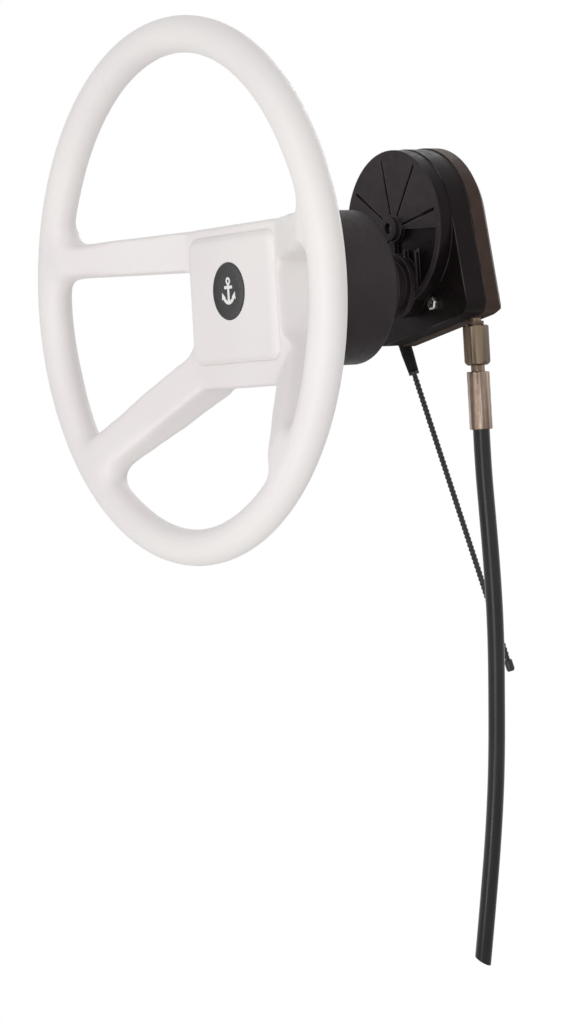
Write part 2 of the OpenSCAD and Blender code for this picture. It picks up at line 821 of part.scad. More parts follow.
module drum_screws() {
    color("silver")
        at_drum() {
            drum_screw_holes(drum_screw_d / 2, gear_y + drum_head_h - eps, screw_tip);
            drum_screw_holes(drum_head_d / 2, gear_y + end_play, gear_y + drum_head_h);
        }
}

module drum_axle() {
    front = axle_seat + seat;
    color("silver")
        at_drum()
            turned()
                polygon([
                    [0, front], [axle_d / 2, front], [axle_d / 2, cover_inner],
                    [axle_thread_d / 2, cover_inner], [axle_thread_d / 2, axle_nut_back + past],
                    [0, axle_nut_back + past]
                ]);
}

module axle_washer() {
    color("silver")
        at_drum()
            sleeve(axle_washer_d / 2, axle_thread_d / 2 + seat, case_back, axle_nut_y);
}

module axle_nut() {
    color("silver")
        at_drum()
            difference() {
                plate(axle_nut_y, axle_nut_back) hexagon(axle_nut_af);
                rod(axle_thread_d / 2 + seat, case_back, axle_nut_back + past);
            }
}

module drum_washers() {
    color("khaki")
        at_drum() {
            sleeve(drum_washer_d / 2, axle_d / 2 + seat, web_back, gear_y - gap);
            sleeve(drum_washer_d / 2, axle_d / 2 + seat, drum_hub_back + gap, cover_inner);
        }
}

// Bezel and dash mount
module bezel_profile(inset) {
    r0 = bezel_d / 2 - inset;
    r1 = bezel_front_d / 2 - inset;
    steps = 8;
    curve = [
        for (i = [0 : steps])
            let (a = 90 * i / steps)
            [r1 + (r0 - r1) * cos(a), -bezel_skirt - (bezel_len - bezel_skirt) * sin(a)]
    ];
    polygon(concat([[0, 0], [r0, 0]], curve, [[0, -bezel_len]]));
}

module bezel_cover() {
    color("dimgray")
        turned()
            difference() {
                bezel_profile(0);
                bezel_profile(bezel_wall);
            }
}

module mount_plate() {
    color("gray")
        difference() {
            sleeve(bezel_d / 2 - bezel_wall - seat, neck_d / 2 + seat, -plate_t, 0);
            for (i = [0 : bolt_count - 1])
                rotate([0, 45 + 360 * i / bolt_count, 0])
                    translate([bolt_pcd / 2, 0, 0])
                        rod(bolt_hole_d / 2, -plate_t - past, past);
        }
}

module neck_nut() {
    y0 = -plate_t - ring_nut_h;
    color("dimgray")
        difference() {
            sleeve(ring_nut_d / 2, neck_d / 2 + seat, y0, -plate_t);
            for (i = [0 : ring_nut_notches - 1])
                rotate([0, 360 * i / ring_nut_notches, 0])
                    translate([ring_nut_d / 2, 0, 0])
                        rod(ring_nut_notch_r, y0 - past, -plate_t - ring_nut_h / 4);
        }
}

module front_bush() {
    color("white")
        turned()
            polygon([
                [shaft_d / 2 + run, bush_front], [bush_flange_d / 2, bush_front],
                [bush_flange_d / 2, -neck_reach], [neck_bore / 2 - seat, -neck_reach],
                [neck_bore / 2 - seat, front_bush_back], [shaft_d / 2 + run, front_bush_back]
            ]);
}

module rear_bush() {
    color("white") sleeve(neck_bore / 2 - seat, shaft_d / 2 + run, bush_end - rear_bush_len, bush_end);
}

module shaft_seal() {
    y0 = front_bush_back + gap;
    color("black") sleeve(neck_bore / 2 - seat, shaft_d / 2 + run, y0, y0 + seal_len);
}

// Case
module case_outline(r, drop, corner) {
    translate([0, drum_z])
        rotate(case_turn) {
            circle(r);
            rounded_rect(-r, -drop, r, corner, corner);
        }
}

module cavity_outline(grow) {
    case_outline(cavity_r + grow, cavity_drop + grow, case_corner - case_wall);
}

module case_ring(y0, y1, r, drop, corner) {
    difference() {
        plate(y0, y1) case_outline(r, drop, corner);
        plate(y0 - past, y1 + past) cavity_outline(0);
    }
}

module at_case(spot) {
    at_drum()
        rotate([0, -case_turn, 0])
            translate([spot.x, 0, spot.y])
                children();
}

module at_screws() {
    for (spot = screw_spots) at_case(spot) children();
}

module face_cuts() {
    inner = boss_d / 2 + groove_w / 2;
    at_drum() {
        for (i = [0 : groove_count - 1])
            rotate([0, -groove_start - 360 * i / groove_count, 0])
                translate([inner, case_front - past, -groove_w / 2])
                    cube([face_cut_r - inner, groove_depth + past, groove_w]);
        difference() {
            rotate([-90, 0, 0])
                rotate([0, 0, recess_start])
                    rotate_extrude(angle = recess_arc)
                        translate([inner, case_front - past])
                            square([face_cut_r - inner, recess_depth + past]);
            for (x = [rib_in, rib_in + rib_gap])
                translate([x - rib_t / 2, case_front - 2 * past, -case_r])
                    cube([rib_t, recess_depth + 3 * past, case_r - rib_low]);
        }
    }
}

module case_shell() {
    difference() {
        union() {
            difference() {
                at_drum() rod(face_r, case_front, ledge_front + past);
                face_cuts();
            }
            plate(ledge_front, case_seam) case_outline(case_r, case_drop, case_corner);
            rod(neck_root_d / 2, case_front - neck_root_h, ledge_front + past);
        }
        at_drum() rod(face_r - case_wall, web_back, ledge_back + past);
        plate(ledge_back, case_seam + past) cavity_outline(0);
    }
}

module helm_body() {
    boss_y = case_front - boss_proud;
    color("dimgray")
        difference() {
            union() {
                case_shell();
                rod(neck_d / 2, -neck_reach, web_back);
                rod(collar_d / 2, dash_t, dash_t + collar_t);
                at_drum() rod(boss_d / 2, boss_y, web_back);
                at_screws() rod(cover_screw_d / 2 + screw_boss_wall, ledge_front + past, case_seam);
            }
            rod(neck_bore / 2, -neck_reach - past, ledge_back + past);
            at_drum() rod(axle_d / 2 + seat, axle_seat, web_back + past);
            at_drum() rod(boss_hole_d / 2, boss_y - past, web_back);
            at_screws() rod(cover_screw_d / 2 + seat, cover_screw_tip - past, case_seam + past);
            at_case(plug_spot) rod(plug_d / 2 + seat, ledge_front - past, ledge_back + past);
            at_tail() post(nipple_d / 2 + gap, -2 * socket_depth, 3 * socket_depth);
        }
}

module grease_plug() {
    color("silver")
        at_case(plug_spot) {
            plate(ledge_front - plug_head_h, ledge_front) hexagon(plug_af);
            rod(plug_d / 2, ledge_front - eps, ledge_back + past);
        }
}

module case_gasket() {
    color("black")
        difference() {
            case_ring(case_seam, cover_y, case_r, case_drop, case_corner);
            at_screws() rod(cover_screw_d / 2 + screw_boss_wall, case_seam - past, cover_y + past);
            at_inlet() post(stub_d / 2 + gap, nut_z, stub_top);
            at_tail() post(nipple_d / 2 + gap, -2 * socket_depth, 3 * socket_depth);
        }
}

module core_guide() {
    color("ivory")
        at_drum()
            rotate([-90, 0, 0])
                rotate([0, 0, -90 - guide_arc / 2])
                    rotate_extrude(angle = guide_arc)
                        translate([guide_in, cable_y - guide_w / 2])
                            square([guide_out - guide_in, guide_w]);
}

function slope(edge) = [
    [edge - cover_bevel - past, case_back + past],
    [edge + past, case_back - cover_bevel - past],
    [edge + past, case_back + past]
];

module cover_shell() {
    drop = case_drop + cover_proud;
    difference() {
        plate(cover_y, case_back) case_outline(cover_r, drop, case_corner);
        at_case([0, 0]) {
            rotate([-90, 0, 0]) rotate([0, 0, 180]) rotate_extrude(angle = 180) polygon(slope(cover_r));
            for (side = [0, 1])
                mirror([side, 0, 0])
                    translate([0, 0, -drop - past])
                        linear_extrude(drop + past)
                            polygon(slope(cover_r));
            rotate([0, 90, 0])
                translate([0, 0, -cover_r - past])
                    linear_extrude(2 * (cover_r + past))
                        polygon(slope(drop));
        }
    }
}

function in_case(x, z) =
    let (c = cos(case_turn), s = sin(case_turn), up = z - drum_z)
    [x * c + up * s, up * c - x * s];

module block_outline(inset) {
    out = case_r - case_wall / 2 - inset;
    down = case_drop - case_wall / 2 - inset;
    corner = case_corner - case_wall / 2;
    foot = in_case(pitch_r, inlet_floor);
    top = in_case(pitch_r, block_top);
    screw_side = screw_spots[1].x + cover_screw_d / 2 + screw_boss_wall + past;
    translate([0, drum_z])
        rotate(case_turn) {
            rounded_rect(-out, -down, screw_side, top.y, corner);
            rounded_rect(foot.x - block_r, -down, out, top.y, corner);
        }
}

module rear_cover() {
    color("#2b2422")
        difference() {
            union() {
                difference() {
                    cover_shell();
                    plate(cover_y - past, cover_inner - cover_step) cavity_outline(0);
                    plate(cover_y, cover_inner) cavity_outline(-cover_step);
                }
                plate(cover_y, cover_inner - cover_step) block_outline(0);
                plate(cover_y, cover_inner) block_outline(cover_step);
            }
            at_inlet() post(core_bore / 2, nut_z, block_top + past);
            at_inlet() post(stub_d / 2 + seat, nut_z - past, stub_top);
            up_from_root() post(core_bore / 2, 0, 4 * socket_depth);
            at_tail() post(nipple_d / 2 + seat, -socket_depth, 3 * socket_depth);
            at_drum() rod(axle_thread_d / 2 + seat, cover_inner - past, case_back + past);
            at_screws() rod(cover_screw_d / 2 + seat, cover_y - past, case_back + past);
            at_screws() rod(cover_head_d / 2 + seat, case_back - cover_head_h, case_back + past);
        }
}

module cover_screws() {
    color("silver")
        at_screws() {
            rod(cover_screw_d / 2, cover_screw_tip, case_back - cover_head_h + eps);
            rod(cover_head_d / 2, case_back - cover_head_h, case_back - end_play);
        }
}

// Cable inlet
module inlet_stub() {
    color("darkgray")
        at_inlet()
            difference() {
                union() {
                    post(stub_d / 2, nut_z - eps, stub_top);
                    post(stub_thread_d / 2, stub_end, nut_z);
                }
                post(core_bore / 2, stub_end - past, block_top);
            }
}

module inlet_collar() {
    color("saddlebrown")
        at_inlet()
            difference() {
                post(inlet_collar_d / 2, nut_z, nut_z + inlet_collar_h);
                post(stub_d / 2 + seat, nut_z - past, nut_z + inlet_collar_h + past);
            }
}

module coupling_nut() {
    shoulder_z = nut_end + coupling_shoulder;
    chamfer_d = coupling_af - coupling_chamfer;
    color("darkgray")
        at_inlet()
            difference() {
                intersection() {
                    translate([0, 0, nut_end]) linear_extrude(coupling_len) hexagon(coupling_af);
                    translate([0, 0, nut_end])
                        cylinder(d1 = chamfer_d, d2 = chamfer_d + 2 * coupling_len, h = coupling_len);
                }
                post(stub_thread_d / 2 + seat, shoulder_z, nut_z + past);
                post(shank_d / 2 + seat, nut_end - past, nut_z);
            }
}

module end_fitting() {
    shoulder_z = nut_end + coupling_shoulder;
    color("silver")
        at_inlet()
            difference() {
                union() {
                    post(shank_d / 2, shank_end, shoulder_z + eps);
                    post(stub_thread_d / 2 - gap, shoulder_z, stub_end);
                }
                post(core_bore / 2, shank_end - past, stub_end + past);
            }
}

module crimp_ferrule() {
    pitch = ferrule_len / (crimp_bands + 1);
    color("lightgray")
        at_inlet()
            difference() {
                post(ferrule_d / 2, ferrule_end, shank_end);
                post(core_bore / 2, ferrule_end - past, shank_end + past);
                for (i = [1 : crimp_bands])
                    translate([0, 0, ferrule_end + i * pitch])
                        rotate_extrude()
                            translate([ferrule_d / 2 + crimp_r - crimp_depth, 0])
                                circle(r = crimp_r);
            }
}

module cable_conduit() {
    color("black") swept(CONDUIT_ROUTE, [for (p = CONDUIT_ROUTE) conduit_d / 2], 12);
}

function core_route() =
    let (steps = 24, riser = 8, fall = 5, bend = core_d)
    concat(
        [for (i = [0 : riser - 1]) [pitch_r, cable_y, ferrule_end + (drum_z - ferrule_end) * i / riser]],
        [
            for (i = [0 : steps])
                let (a = wrap * i / steps) [pitch_r * cos(a), cable_y, drum_z + pitch_r * sin(a)]
        ],
        [for (i = [1 : fall]) leave + fall_dir * (leave_len - bend) * i / fall],
        [tail_root + bend * tail_dir, tail_start - bend * tail_dir, tail_start]
    );

module cable_core() {
    route = core_route();
    color("gray") swept(route, [for (p = route) core_d / 2]);
}

// Spent end of the core
module tail_nipple() {
    taper_len = nipple_len - ring_len - socket_depth;
    color("#202020")
        at_tail()
            difference() {
                union() {
                    post(nipple_d / 2, past - socket_depth, socket_depth);
                    translate([0, 0, socket_depth])
                        cylinder(d1 = nipple_d, d2 = nipple_end_d, h = taper_len);
                }
                post(core_bore / 2, 0, nipple_len + past);
                post(nipple_d / 2 - nipple_wall, -2 * socket_depth, past);
            }
}

module nipple_ring() {
    color("gray")
        at_tail()
            difference() {
                post(nipple_end_d / 2 + seat, nipple_len - ring_len, nipple_len);
                post(core_bore / 2, 0, nipple_len + past);
            }
}

module core_tail() {
    straight = core_d;
    pitch = (tail_len - 2 * straight) / tail_ribs;
    crest = core_d / 2;
    places = concat(
        [0, straight],
        [for (i = [0 : tail_ribs - 1]) each [straight + (i + 0.3) * pitch, straight + (i + 0.8) * pitch]],
        [tail_len - straight, tail_len]
    );
    radii = [
        for (k = [0 : len(places) - 1])
            (k < 2 || k > len(places) - 3 || k % 2 == 0) ? crest : crest - tail_rib_depth
    ];
    color("dimgray") swept([for (p = places) tail_start + p * tail_dir], radii);
}

module core_tip() {
    color("gray")
        translate(tip_start)
            along_tail()
                rotate_extrude()
                    polygon([
                        [0, 0], [tip_d / 2 - tip_bevel, 0], [tip_d / 2, tip_bevel],
                        [tip_d / 2, tip_len - 2 * tip_bevel], [tip_d / 2 - tip_bevel, tip_len], [0, tip_len]
                    ]);
}

steering_wheel();
hub_pad();
emblem_disc();
hub_insert();
wheel_nut();
wheel_washer();
steering_shaft();
shaft_key();
thrust_washer();
pinion_gear();
pinion_clip();
drum_gear();
cable_drum();
drum_bushes();
drum_screws();
bezel_cover();
mount_plate();
neck_nut();
helm_body();
front_bush();
rear_bush();
shaft_seal();
case_gasket();
rear_cover();
cover_screws();
drum_axle();
axle_nut();
axle_washer();
drum_washers();
grease_plug();
core_guide();
inlet_stub();
inlet_collar();
coupling_nut();
end_fitting();
crimp_ferrule();
cable_conduit();
cable_core();
tail_nipple();
nipple_ring();
core_tail();
core_tip();
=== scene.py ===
import json
import math

import bmesh
import bpy
import numpy as np
from mathutils import Matrix, Vector


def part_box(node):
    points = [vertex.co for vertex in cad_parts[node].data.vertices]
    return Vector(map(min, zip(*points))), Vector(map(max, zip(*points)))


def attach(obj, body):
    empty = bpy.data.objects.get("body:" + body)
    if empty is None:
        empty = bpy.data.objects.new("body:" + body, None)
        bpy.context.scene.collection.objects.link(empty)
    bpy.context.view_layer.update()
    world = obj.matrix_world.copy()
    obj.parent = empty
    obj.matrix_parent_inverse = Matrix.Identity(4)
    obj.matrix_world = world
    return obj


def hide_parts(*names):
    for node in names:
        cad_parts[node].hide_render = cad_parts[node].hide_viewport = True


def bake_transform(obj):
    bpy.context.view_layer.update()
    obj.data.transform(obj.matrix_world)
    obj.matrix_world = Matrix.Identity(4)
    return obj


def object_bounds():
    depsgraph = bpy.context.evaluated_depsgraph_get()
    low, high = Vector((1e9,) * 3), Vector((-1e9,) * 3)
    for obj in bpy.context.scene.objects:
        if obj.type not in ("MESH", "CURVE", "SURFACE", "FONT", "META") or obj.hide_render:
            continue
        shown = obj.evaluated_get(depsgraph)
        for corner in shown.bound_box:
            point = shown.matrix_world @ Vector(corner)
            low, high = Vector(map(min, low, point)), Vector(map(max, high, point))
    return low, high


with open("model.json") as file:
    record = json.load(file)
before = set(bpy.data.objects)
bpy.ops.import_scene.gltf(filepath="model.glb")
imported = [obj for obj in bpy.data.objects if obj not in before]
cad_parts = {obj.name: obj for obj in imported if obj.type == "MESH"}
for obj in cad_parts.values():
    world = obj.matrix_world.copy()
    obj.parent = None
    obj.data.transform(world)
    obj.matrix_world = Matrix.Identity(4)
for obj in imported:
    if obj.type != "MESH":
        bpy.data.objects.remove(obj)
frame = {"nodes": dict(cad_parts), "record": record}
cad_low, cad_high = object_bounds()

# A boat steering helm. Shapes are written in millimetres in the part's frame: X to the driver's
# right, Y ahead and Z up, with the shaft along Y through the origin.
MM = 0.001
scene = bpy.context.scene
SLOT_OF = {p["node"]: p["material_slot"] for p in frame["record"]["subparts"]}


# Small tools
def put(name, mesh):
    obj = bpy.data.objects.new(name, mesh)
    scene.collection.objects.link(obj)
    return obj


def shade(mesh, smooth=True):
    for p in mesh.polygons:
        p.use_smooth = smooth


def smooth_by_angle(obj, degrees):
    """Smooth shading that stops at edges sharper than an angle."""
    shade(obj.data)
    obj.data.set_sharp_from_angle(angle=math.radians(degrees))


def solid(name, verts, faces, smooth=True):
    """A mesh object from points in millimetres."""
    mesh = bpy.data.meshes.new(name)
    mesh.from_pydata([tuple(c * MM for c in v) for v in verts], [], faces)
    bm = bmesh.new()
    bm.from_mesh(mesh)
    bmesh.ops.recalc_face_normals(bm, faces=bm.faces)
    bm.to_mesh(mesh)
    bm.free()
    shade(mesh, smooth)
    return put(name, mesh)


def turns(steps):
    """Angles once round a circle."""
    return [2 * math.pi * k / steps for k in range(steps)]


def stack(name, rings, closed_loop=False):
    """Skin over rings of as many points each, with flat ends or back to the first ring."""
    n = len(rings[0])
    verts = [p for ring in rings for p in ring]
    faces = []
    for i in range(len(rings) if closed_loop else len(rings) - 1):
        a, b = i * n, ((i + 1) % len(rings)) * n
        for k in range(n):
            m = (k + 1) % n
            faces.append((a + k, a + m, b + m, b + k))
    if not closed_loop:
        faces.append(tuple(range(n)))
        faces.append(tuple((len(rings) - 1) * n + k for k in range(n)))
    return solid(name, verts, faces)


def lathe(name, profile, steps, closed_loop=False):
    """Turns (radius, y) points about the shaft's axis."""
    rings = [[(r * math.cos(a), y, r * math.sin(a)) for a in turns(steps)] for r, y in profile]
    return stack(name, rings, closed_loop)


def apply_modifiers(obj):
    """Puts the result of the modifiers into the mesh."""
    bpy.context.view_layer.update()
    graph = bpy.context.evaluated_depsgraph_get()
    mesh = bpy.data.meshes.new_from_object(obj.evaluated_get(graph))
    obj.modifiers.clear()
    obj.data = mesh


def spline(points, per_gap):
    """Smooth line through points, by Catmull and Rom's rule."""
    pts = [Vector(p) for p in points]
    pts = [2 * pts[0] - pts[1]] + pts + [2 * pts[-1] - pts[-2]]
    line = []
    for i in range(1, len(pts) - 2):
        a, b, c, d = pts[i - 1 : i + 3]
        for k in range(per_gap):
            t = k / per_gap
            line.append(
                0.5
                * (
                    2 * b
                    + (c - a) * t
                    + (2 * a - 5 * b + 4 * c - d) * t * t
                    + (3 * b - a - 3 * c + d) * t**3
                )
            )
    line.append(pts[-2])
    return line


# Camera, at the photograph's place and tilt
CAMERA_PLACE = (1.5901, -1.12394, -0.0779)
CAMERA_AZIMUTH, CAMERA_ELEVATION, CAMERA_ROLL = 56.15, 1.915, 3.329
SENSOR_HEIGHT = 36
FOCAL_PIXELS, FRAME_PIXELS = 3000, 1024


def make_camera():
    angles = (CAMERA_AZIMUTH, CAMERA_ELEVATION, CAMERA_ROLL)
    az, el, roll = (math.radians(v) for v in angles)
    ahead = Vector((-math.sin(az) * math.cos(el), math.cos(az) * math.cos(el), -math.sin(el)))
    right = Vector((math.cos(az), math.sin(az), 0))
    up = right.cross(ahead)
    tilted_right = right * math.cos(roll) - up * math.sin(roll)
    tilted_up = right * math.sin(roll) + up * math.cos(roll)
    data = bpy.data.cameras.new("camera")
    data.sensor_fit = "VERTICAL"
    data.sensor_height = SENSOR_HEIGHT
    data.lens = SENSOR_HEIGHT * FOCAL_PIXELS / FRAME_PIXELS
    data.clip_end = 50
    camera = put("camera", data)
    turn = Matrix((tilted_right, tilted_up, -ahead)).transposed()
    camera.matrix_world = Matrix.Translation(Vector(CAMERA_PLACE)) @ turn.to_4x4()
    scene.camera = camera


# Materials
class Look:
    """A principled material with grain, patches and uneven gloss from its own nodes."""

    # Two inputs and the result of a Mix node, for each kind of value
    MIX_SOCKETS = {"FLOAT": (2, 3, 0), "RGBA": (6, 7, 2)}
    # Where noise starts and ends to count as dark and light
    NOISE_SPAN = (0.3, 0.7)

    def __init__(self, name, colour, rough, metal=0.0, specular=0.5, shine=(1, 1, 1)):
        self.mat = bpy.data.materials.new(name)
        self.mat.use_nodes = True
        self.nodes = self.mat.node_tree.nodes
        self.links = self.mat.node_tree.links
        self.shader = self.nodes["Principled BSDF"]
        self.shader.inputs["Base Color"].default_value = (*colour, 1)
        self.shader.inputs["Roughness"].default_value = rough
        self.shader.inputs["Metallic"].default_value = metal
        self.shader.inputs["Specular IOR Level"].default_value = specular
        self.shader.inputs["Specular Tint"].default_value = (*shine, 1)
        self.where = self.nodes.new("ShaderNodeTexCoord").outputs["Object"]
        self.normal = None

    # Single nodes
    def noise(self, scale, detail=3.0, stretch=None):
        node = self.nodes.new("ShaderNodeTexNoise")
        node.inputs["Scale"].default_value = scale
        node.inputs["Detail"].default_value = detail
        place = self.where
        if stretch:
            mapping = self.nodes.new("ShaderNodeMapping")
            mapping.inputs["Scale"].default_value = stretch
            self.links.new(place, mapping.inputs["Vector"])
            place = mapping.outputs["Vector"]
        self.links.new(place, node.inputs["Vector"])
        return node.outputs["Fac"]

    def ramp(self, value, stops):
        node = self.nodes.new("ShaderNodeValToRGB")
        ends = node.color_ramp.elements
        while len(ends) < len(stops):
            ends.new(0.5)
        for end, (at, colour) in zip(ends, stops):
            end.position = at
            end.color = (*colour, 1)
        self.links.new(value, node.inputs["Fac"])
        return node.outputs["Color"]

    def spread(self, value, span, result=(0.0, 1.0)):
        """Maps one span of values to another and cuts off what lies outside."""
        node = self.nodes.new("ShaderNodeMapRange")
        node.inputs["From Min"].default_value, node.inputs["From Max"].default_value = span
        node.inputs["To Min"].default_value, node.inputs["To Max"].default_value = result
        self.links.new(value, node.inputs["Value"])
        return node.outputs["Result"]

    def mix(self, kind, share, first, second):
        """Goes from a socket to a second socket or a plain value."""
        node = self.nodes.new("ShaderNodeMix")
        node.data_type = kind
        a, b, result = self.MIX_SOCKETS[kind]
        self.links.new(share, node.inputs[0])
        self.links.new(first, node.inputs[a])
        if isinstance(second, bpy.types.NodeSocket):
            self.links.new(second, node.inputs[b])
        else:
            node.inputs[b].default_value = second
        return node.outputs[result]

    def axis(self, vector, letter):
        node = self.nodes.new("ShaderNodeSeparateXYZ")
        self.links.new(vector, node.inputs["Vector"])
        return node.outputs[letter]

    # Layers of a finish, among them painted shade and painted highlights
    def patches(self, scale, stops, detail=3.0, stretch=None):
        colour = self.ramp(self.noise(scale, detail, stretch), stops)
        self.links.new(colour, self.shader.inputs["Base Color"])
        return self

    def two_tone(self, scale, dark, light):
        return self.patches(scale, list(zip(self.NOISE_SPAN, (dark, light))))

    def shade_behind_front(self, near, far, span):
        """One colour on the front face and another behind it, by the depth in the part; used to
        paint shade on the sides and in the recesses.
        """
        depth = self.spread(self.axis(self.where, "Y"), [y * MM for y in span])
        self.links.new(self.mix("RGBA", depth, near, far), self.shader.inputs["Base Color"])
        return self

    def gloss(self, scale, low, high, stretch=None):
        rough = self.spread(self.noise(scale, 4.0, stretch), self.NOISE_SPAN, (low, high))
        self.links.new(rough, self.shader.inputs["Roughness"])
        return self

    def dull_below(self, rough):
        """An underside that is left rough. It follows gloss()."""
        facing = self.nodes.new("ShaderNodeTexCoord").outputs["Normal"]
        below = self.spread(self.axis(facing, "Z"), (-0.75, -0.95))
        socket = self.shader.inputs["Roughness"]
        self.links.new(self.mix("FLOAT", below, socket.links[0].from_socket, rough), socket)
        return self

    def edges(self, radius):
        """Soft corners in the shading, as on moulded and worn edges."""
        node = self.nodes.new("ShaderNodeBevel")
        node.samples = 6
        node.inputs["Radius"].default_value = radius * MM
        self.normal = node.outputs["Normal"]
        self.links.new(self.normal, self.shader.inputs["Normal"])
        return self

    def wear_and_painted_highlight(self, colour, scale):
        """A paler, uneven line along the edges, partly rubbed wear and partly a painted highlight.
        It follows edges().
        """
        shape = self.nodes.new("ShaderNodeNewGeometry")
        turn = self.nodes.new("ShaderNodeVectorMath")
        turn.operation = "DOT_PRODUCT"
        self.links.new(shape.outputs["Normal"], turn.inputs[0])
        self.links.new(self.normal, turn.inputs[1])
        both = self.nodes.new("ShaderNodeMath")
        both.operation = "MULTIPLY"
        self.links.new(self.spread(turn.outputs["Value"], (0.985, 0.86)), both.inputs[0])
        self.links.new(self.spread(self.noise(scale), (0.38, 0.62)), both.inputs[1])
        base = self.shader.inputs["Base Color"]
        under = base.links[0].from_socket
        self.links.new(self.mix("RGBA", both.outputs["Value"], under, (*colour, 1)), base)
        return self

    def grain(self, scale, strength, depth, detail=2.0, stretch=None):
        node = self.nodes.new("ShaderNodeBump")
        node.inputs["Strength"].default_value = strength
        node.inputs["Distance"].default_value = depth * MM
        self.links.new(self.noise(scale, detail, stretch), node.inputs["Height"])
        if self.normal:
            self.links.new(self.normal, node.inputs["Normal"])
        self.normal = node.outputs["Normal"]
        self.links.new(self.normal, self.shader.inputs["Normal"])
        return self


# Depth at which the case's lighter front colour turns into the darker colour of its sides and
# recesses, which is painted shade
CASE_SHADE_DEPTH = (35.6, 36.6)
WARM_SHINE = (1.0, 0.84, 0.87)
BROWN_SHINE = (1.0, 0.8, 0.74)


def make_looks():
    looks = {}

    white = Look("moulded_white", (0.80, 0.77, 0.76), 0.42, specular=0.35)
    white.patches(9, [(0.35, (0.80, 0.758, 0.755)), (0.65, (0.83, 0.80, 0.785))], detail=1.5)
    white.gloss(160, 0.36, 0.50)
    white.grain(1900, 0.10, 0.05)
    looks["wheel_white"] = white

    emblem = Look("emblem_gloss_black", (0.012, 0.011, 0.012), 0.3, specular=0.4)
    emblem.two_tone(260, (0.010, 0.009, 0.010), (0.016, 0.014, 0.015))
    emblem.gloss(420, 0.24, 0.36)
    emblem.grain(2600, 0.06, 0.03)
    looks["emblem_black"] = emblem

    mark = Look("emblem_white_ink", (0.80, 0.79, 0.78), 0.5)
    mark.two_tone(500, (0.76, 0.75, 0.74), (0.84, 0.83, 0.82))
    mark.grain(3000, 0.08, 0.03)
    looks["mark_white"] = mark

    case = Look("moulded_black", (0.013, 0.0095, 0.0105), 0.4, specular=0.10, shine=WARM_SHINE)
    # Painted shade: the sides and recesses behind the front face get a far darker colour than the
    # face
    painted_shade_tones = [(0.3, (0.0060, 0.0042, 0.0044)), (0.7, (0.0095, 0.0070, 0.0073))]
    front_tones = [(0.3, (0.0290, 0.0228, 0.0246)), (0.7, (0.0390, 0.0310, 0.0334))]
    side = case.ramp(case.noise(55), painted_shade_tones)
    case.shade_behind_front(case.ramp(case.noise(130), front_tones), side, CASE_SHADE_DEPTH)
    case.gloss(240, 0.26, 0.44).dull_below(0.95)
    # Paler case edges: partly rubbed wear, partly painted highlights
    case.edges(0.9).wear_and_painted_highlight((0.16, 0.15, 0.15), scale=38)
    case.grain(1500, 0.16, 0.06)
    looks["case_black"] = case

    bezel = Look("satin_black", (0.016, 0.0125, 0.0135), 0.5, specular=0.3, shine=WARM_SHINE)
    bezel.two_tone(38, (0.014, 0.0108, 0.0116), (0.020, 0.0160, 0.0170))
    bezel.gloss(300, 0.46, 0.60)
    bezel.grain(1700, 0.14, 0.05)
    looks["bezel_black"] = bezel

    cover = Look(
        "brown_black_casting", (0.030, 0.017, 0.013), 0.5, specular=0.24, shine=BROWN_SHINE,
    )
    cover.two_tone(70, (0.025, 0.0135, 0.0100), (0.039, 0.0240, 0.0190))
    cover.gloss(260, 0.42, 0.60).dull_below(0.95)
    # Paler cover edges: partly rubbed wear, partly painted highlights
    cover.edges(0.8).wear_and_painted_highlight((0.12, 0.085, 0.07), scale=90)
    cover.grain(900, 0.30, 0.10, detail=4)
    looks["cover_black"] = cover

    nipple = Look("nipple_rubber_black", (0.010, 0.009, 0.0095), 0.5, specular=0.06)
    nipple.two_tone(160, (0.008, 0.0072, 0.0076), (0.013, 0.0118, 0.0123))
    nipple.grain(2000, 0.15, 0.05)
    looks["nipple_black"] = nipple

    steel = Look("bright_steel", (0.62, 0.60, 0.58), 0.28, metal=1)
    steel.two_tone(200, (0.56, 0.54, 0.52), (0.68, 0.66, 0.64))
    steel.gloss(700, 0.20, 0.38)
    steel.edges(0.3)
    steel.grain(2400, 0.08, 0.03)
    looks["steel"] = steel

    alloy = Look("crimped_alloy", (0.44, 0.38, 0.34), 0.38, metal=1)
    # Lengthwise dark-to-light streaks in the metal's colour: painted reflections and painted shade
    painted_reflection_streaks = [
        (0.30, (0.085, 0.060, 0.045)), (0.44, (0.195, 0.14, 0.108)),
        (0.58, (0.29, 0.222, 0.182)), (0.74, (0.52, 0.445, 0.395)),
    ]
    alloy.patches(420, painted_reflection_streaks, detail=2, stretch=(1, 1, 0.035))
    alloy.gloss(500, 0.30, 0.46)
    alloy.edges(0.5)
    alloy.grain(1600, 0.20, 0.05)
    looks["alloy"] = alloy

    nut = Look("plated_nut", (0.25, 0.21, 0.165), 0.42, metal=1)
    # Lengthwise dark-to-light streaks in the metal's colour: painted reflections and painted shade
    painted_reflection_streaks = [
        (0.30, (0.070, 0.048, 0.032)), (0.46, (0.165, 0.125, 0.088)),
        (0.60, (0.225, 0.175, 0.128)), (0.74, (0.37, 0.305, 0.24)),
    ]
    nut.patches(260, painted_reflection_streaks, detail=2, stretch=(1, 1, 0.05))
    nut.gloss(500, 0.32, 0.50)
    nut.edges(0.5)
    nut.grain(1500, 0.18, 0.05)
    looks["nut_metal"] = nut

    collar = Look("brown_seal_collar", (0.085, 0.045, 0.025), 0.45)
    collar.two_tone(400, (0.07, 0.036, 0.02), (0.11, 0.06, 0.034))
    collar.grain(1800, 0.15, 0.05)
    looks["brown_collar"] = collar

    brass = Look("gear_brass", (0.62, 0.44, 0.18), 0.35, metal=1)
    brass.two_tone(180, (0.54, 0.37, 0.14), (0.68, 0.50, 0.22))
    brass.gloss(600, 0.28, 0.44)
    looks["gear_brass"] = brass

